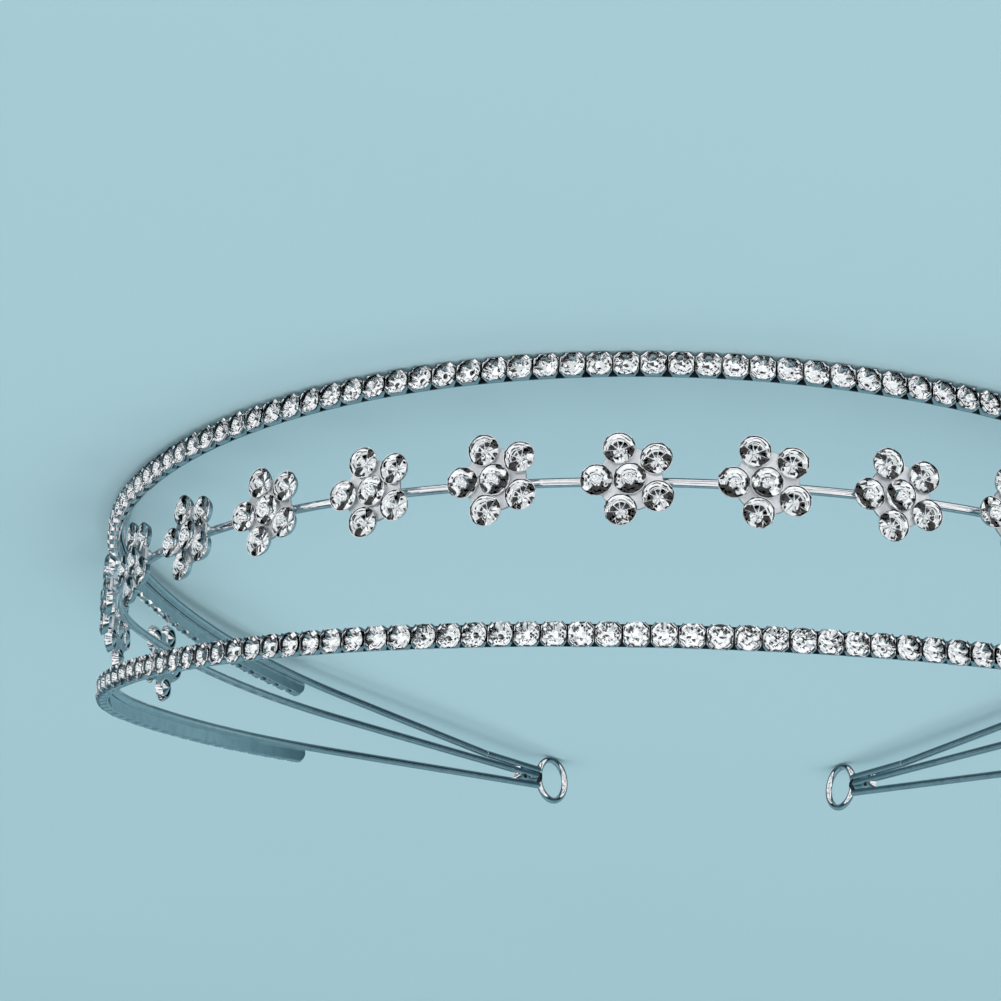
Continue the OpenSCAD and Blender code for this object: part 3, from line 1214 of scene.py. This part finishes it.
@dataclass(frozen=True)
class Headband:
    """The whole headband, with the sizes that its pieces share.

    Attributes:
        curve: plan of the three wires.
        lower_spread: degrees between the lower and the middle row at the end loops.
        upper_spread: the same between the middle and the upper row.
        tip_length: length of the three tips that belong to a loop.
        cup_rim: distance of a cup's rim from the wire's middle, as in the part.
        gap: the small gap between pieces that lie against each other.
        wire: diameter of the wires.
        lower_chain: number of cups of the lower row, their slide towards +X and the row's seed.
        upper_chain: the same for the upper row.
        flower_pitch: distance from flower to flower.
        flower_slide: how far the row of flowers is off the middle, towards +X.
        flowers: for each flower how far it sits off its place: along the wire, across it, and its turn.
    """

    curve: Curve = Curve()
    lower_spread: float = 5.1
    upper_spread: float = 5.5
    tip_length: float = 15.0
    cup_rim: float = 1.72
    gap: float = 0.05
    wire: float = 1.0
    lower_chain: tuple[int, float, int] = (107, 0.2, 11)
    upper_chain: tuple[int, float, int] = (108, -0.3, 21)
    flower_pitch: float = 14.0
    flower_slide: float = 2.3
    flowers: tuple[tuple[float, float, float], ...] = (
        (0.0, 0.3, 3.0), (0.0, 0.2, 6.0), (0.1, 0.0, 3.0), (-0.1, 0.1, 5.0), (0.0, -0.1, 3.0),
        (0.1, 0.0, 6.0), (0.0, 0.0, 5.0), (0.0, 0.0, 4.0), (-0.1, 0.1, 3.0), (0.0, -0.2, 4.0),
        (0.0, -0.1, 3.0), (0.2, 0.0, 3.0), (-0.1, 0.3, 4.0), (-0.2, 0.2, 4.0), (0.0, 0.4, 4.0),
        (1.5, 1.0, 4.0), (3.0, 1.0, 4.0),
    )

    def build(self, record: dict, finishes: Finishes) -> list[bpy.types.Object]:
        """Build every piece.

        Args:
            record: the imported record, whose loop mounts give the place of the end line.
            finishes: the materials.

        Returns:
            The pieces.
        """
        mounts = {m["name"]: m for m in record["mounts"]}
        _, hinge_y, hinge_z = (1000.0 * v for v in mounts["right_loop_hole"]["pos_m"])
        hinge = (hinge_y, hinge_z)
        lower = -math.degrees(math.asin((hinge_z - self.wire / 2) / (self.curve.depth + self.cup_rim)))
        middle = lower + self.lower_spread
        upper = middle + self.upper_spread
        lower_row = Row(self.curve, hinge, lower)
        middle_row = Row(self.curve, hinge, middle)
        upper_row = Row(self.curve, hinge, upper, self.wire + self.gap)
        wire_end = self.curve.half_length - self.tip_length
        makers: list[StoneRow | BareWire | Flower | EndLoop] = [
            StoneRow("lower_row", lower_row, *self.lower_chain, wire_end),
            StoneRow("upper_row", upper_row, *self.upper_chain, wire_end),
            BareWire("middle_wire", middle_row, wire_end),
            EndLoop("right_end_loop", 1, middle_row, upper_row, self.lower_spread, wire_end),
            EndLoop("left_end_loop", -1, middle_row, upper_row, self.lower_spread, wire_end),
        ]
        for index, (slide, lift, turn) in enumerate(self.flowers):
            place = (index - (len(self.flowers) - 1) / 2) * self.flower_pitch + self.flower_slide
            makers.append(Flower(index + 1, middle_row, place + slide, lift, turn))
        pieces = []
        for maker in makers:
            for piece in maker.build(finishes):
                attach(piece, "root")
                log.info("%s: %d faces", piece.name, len(piece.data.polygons))
                pieces.append(piece)
        return pieces


@dataclass(frozen=True)
class Studio:
    """Floor, soft lights and camera.

    The camera looks down at the front from about 20 degrees and is rolled over, so the picture shows the
    headband the other way up, as the photograph does.

    Attributes:
        eye: camera place in millimetres.
        aim: viewing direction.
        upwards: direction that is up in the picture.
        focal_pixels: focal length in pixels of the photograph.
        floor_half: half the floor's width in metres.
        floor_drop: how far the floor lies below the part, in millimetres.
        softboxes: name, place and width in metres, and power in watts of each square light.
        black: colour of the black cards and flags.
        flags: direction and half angle in degrees of each black flag.
        flag_edge: degrees over which a flag fades out.
        tones: the room's tone from the front (0) to the far side (1).
        far_side: where the far side starts on that scale.
        streaks: what the far side's tone is multiplied by, from straight down (0) to straight up (1).
        cells: how finely the front is divided into cards, in x, y and z.
        card_tones: darkest and brightest tone of a card.
        black_cards: share of the cards that aren't black.
    """

    eye: tuple[float, float, float] = (-17.08, -403.58, 139.26)
    aim: tuple[float, float, float] = (0.09331, 0.93220, -0.34971)
    upwards: tuple[float, float, float] = (0.01614, -0.35262, -0.93563)
    focal_pixels: float = 3380.7
    floor_half: float = 3.0
    floor_drop: float = 0.02
    softboxes: tuple[tuple[str, tuple[float, float, float], float, float], ...] = (
        ("key_softbox", (-0.45, -0.75, 0.75), 0.9, 1.2),
        ("top_softbox", (0.1, -0.3, 1.6), 2.4, 25.5),
    )
    black: str = "06090B"
    flags: tuple[tuple[tuple[float, float, float], float], ...] = (
        ((-0.09, -0.93, 0.35), 5.0),
        ((0.7, -0.6, -0.4), 6.0),
        ((-0.55, -0.5, -0.65), 6.0),
    )
    flag_edge: float = 2.0
    tones: tuple[tuple[float, str], ...] = (
        (0.0, "F4F6F8"), (0.50, "F0F3F5"), (0.54, "1C2A30"), (0.61, "304F5C"),
        (0.68, "587F8C"), (0.80, "7AA4B0"), (1.0, "739BA8"),
    )
    far_side: float = 0.51
    streaks: tuple[tuple[float, str], ...] = (
        (0.0, "E8E8E8"), (0.2, "9C9C9C"), (0.26, "9C9C9C"), (0.36, "E8E8E8"),
        (0.55, "FFFFFF"), (0.7, "D8D8D8"), (1.0, "FFFFFF"),
    )
    cells: tuple[float, float, float] = (5.0, 5.0, 9.0)
    card_tones: tuple[float, float] = (0.75, 1.5)
    black_cards: float = 0.78

    @staticmethod
    def ramp(tree: Tree, value: Socket, stops: Sequence[tuple[float, str]]) -> Socket:
        """Add a colour ramp.

        Args:
            tree: the node tree.
            value: what it follows, from 0 to 1.
            stops: place and sRGB hex colour of each stop.

        Returns:
            Its colour.
        """
        node = add_node(tree, "ShaderNodeValToRGB", inputs={"Fac": value})
        while len(node.color_ramp.elements) < len(stops):
            node.color_ramp.elements.new(0.5)
        for element, (position, colour) in zip(node.color_ramp.elements, stops):
            element.position = position
            element.color = linear(colour)
        return node.outputs["Color"]

    def floor(self) -> None:
        """Make the floor: a grid of points just below the part."""
        count = 9
        line = np.linspace(-self.floor_half, self.floor_half, count) / MM
        x, y = np.meshgrid(line, line)
        points = np.stack([x, y, 0 * x - self.floor_drop], axis=-1).reshape(-1, 3)
        floor = make_object("floor", Surface(points, [grid_faces(count, count)]), [PaperFloor().build()])
        floor.visible_glossy = False
        floor.visible_transmission = False

    def camera(self) -> None:
        """Make the camera that matches the photograph."""
        data = bpy.data.cameras.new("camera")
        data.sensor_width = SENSOR_MM
        data.lens = self.focal_pixels * SENSOR_MM / PHOTO_PIXELS
        data.clip_start = 0.01
        camera = bpy.data.objects.new("camera", data)
        back = -Vector(self.aim).normalized()
        right = Vector(self.upwards).cross(back).normalized()
        up = back.cross(right)
        turn = Matrix((right, up, back)).transposed().to_4x4()
        camera.matrix_world = Matrix.Translation(Vector(self.eye) * MM) @ turn
        bpy.context.scene.collection.objects.link(camera)
        bpy.context.scene.camera = camera

    def softbox(self, name: str, place: Sequence[float], width: float, watts: float) -> None:
        """Add a square light that faces the headband. Metal and glass don't mirror it.

        Args:
            name: the light's name.
            place: in metres.
            width: in metres.
            watts: its power.
        """
        data = bpy.data.lights.new(name, "AREA")
        data.shape = "RECTANGLE"
        data.size = data.size_y = width
        data.energy = watts
        light = bpy.data.objects.new(name, data)
        light.location = place
        light.rotation_euler = (-Vector(place)).to_track_quat("-Z", "Y").to_euler()
        light.visible_glossy = False
        light.visible_transmission = False
        bpy.context.scene.collection.objects.link(light)

    def room(self) -> None:
        """Make the room's own light, which the metal and the stones mirror.

        White cards of slightly different tones stand in front, on the camera's side, with black ones among
        them, and the far side is dull blue-green with streaks. With a direction (x, y, z), the tone follows
        y + 0.35 max(z, 0). Black flags hang where the stones need a dark facet, one of them round the camera.
        """
        world = bpy.data.worlds.new("room")
        world.use_nodes = True
        tree = world.node_tree
        tree.nodes.clear()
        direction = add_node(tree, "ShaderNodeTexCoord").outputs["Generated"]
        parts = add_node(tree, "ShaderNodeSeparateXYZ", inputs={"Vector": direction}).outputs
        above = computed(tree, "MAXIMUM", parts["Z"], 0.0)
        share = mapped(tree, computed(tree, "MULTIPLY_ADD", above, 0.35, parts["Y"]), -1.0, 1.0)
        behind = computed(tree, "GREATER_THAN", share, self.far_side)
        front = computed(tree, "SUBTRACT", 1.0, behind)
        streaks = self.ramp(tree, mapped(tree, parts["Z"], -1.0, 1.0), self.streaks)
        colour = mixed(tree, behind, self.ramp(tree, share, self.tones), streaks, "MULTIPLY")
        scaled = {0: direction, 1: self.cells}
        stretched = add_node(tree, "ShaderNodeVectorMath", {"operation": "MULTIPLY"}, scaled).outputs[0]
        cells = add_node(tree, "ShaderNodeTexVoronoi", inputs={"Vector": stretched, "Scale": 1.0})
        cell = add_node(tree, "ShaderNodeSeparateColor", inputs={"Color": cells.outputs["Color"]}).outputs
        tone = mapped(tree, cell["Green"], 0.0, 1.0, *self.card_tones)
        colour = mixed(tree, front, colour, tone, "MULTIPLY")
        dark = computed(tree, "GREATER_THAN", cell["Red"], self.black_cards)
        colour = mixed(tree, computed(tree, "MULTIPLY", dark, front), colour, linear(self.black))
        for flag, half_angle in self.flags:
            facing = {0: direction, 1: Vector(flag).normalized()}
            near = add_node(tree, "ShaderNodeVectorMath", {"operation": "DOT_PRODUCT"}, facing)
            low, high = (math.cos(math.radians(half_angle + edge)) for edge in (self.flag_edge, 0.0))
            inside = mapped(tree, near.outputs["Value"], low, high)
            colour = mixed(tree, inside, colour, linear(self.black))
        light = add_node(tree, "ShaderNodeBackground", inputs={"Color": colour, "Strength": 1.0})
        add_node(tree, "ShaderNodeOutputWorld", inputs={"Surface": light.outputs["Background"]})
        bpy.context.scene.world = world

    def build(self) -> None:
        """Set up the floor, the lights and the camera."""
        self.floor()
        self.camera()
        self.room()
        for box in self.softboxes:
            self.softbox(*box)
        bpy.context.scene.view_settings.view_transform = "Standard"


def main() -> None:
    """Build the headband and its studio."""
    logging.basicConfig(level=logging.INFO, format="%(name)s: %(message)s")
    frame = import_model()
    Headband().build(frame["record"], Finishes.build())
    Studio().build()


if __name__ == "__main__":
    main()
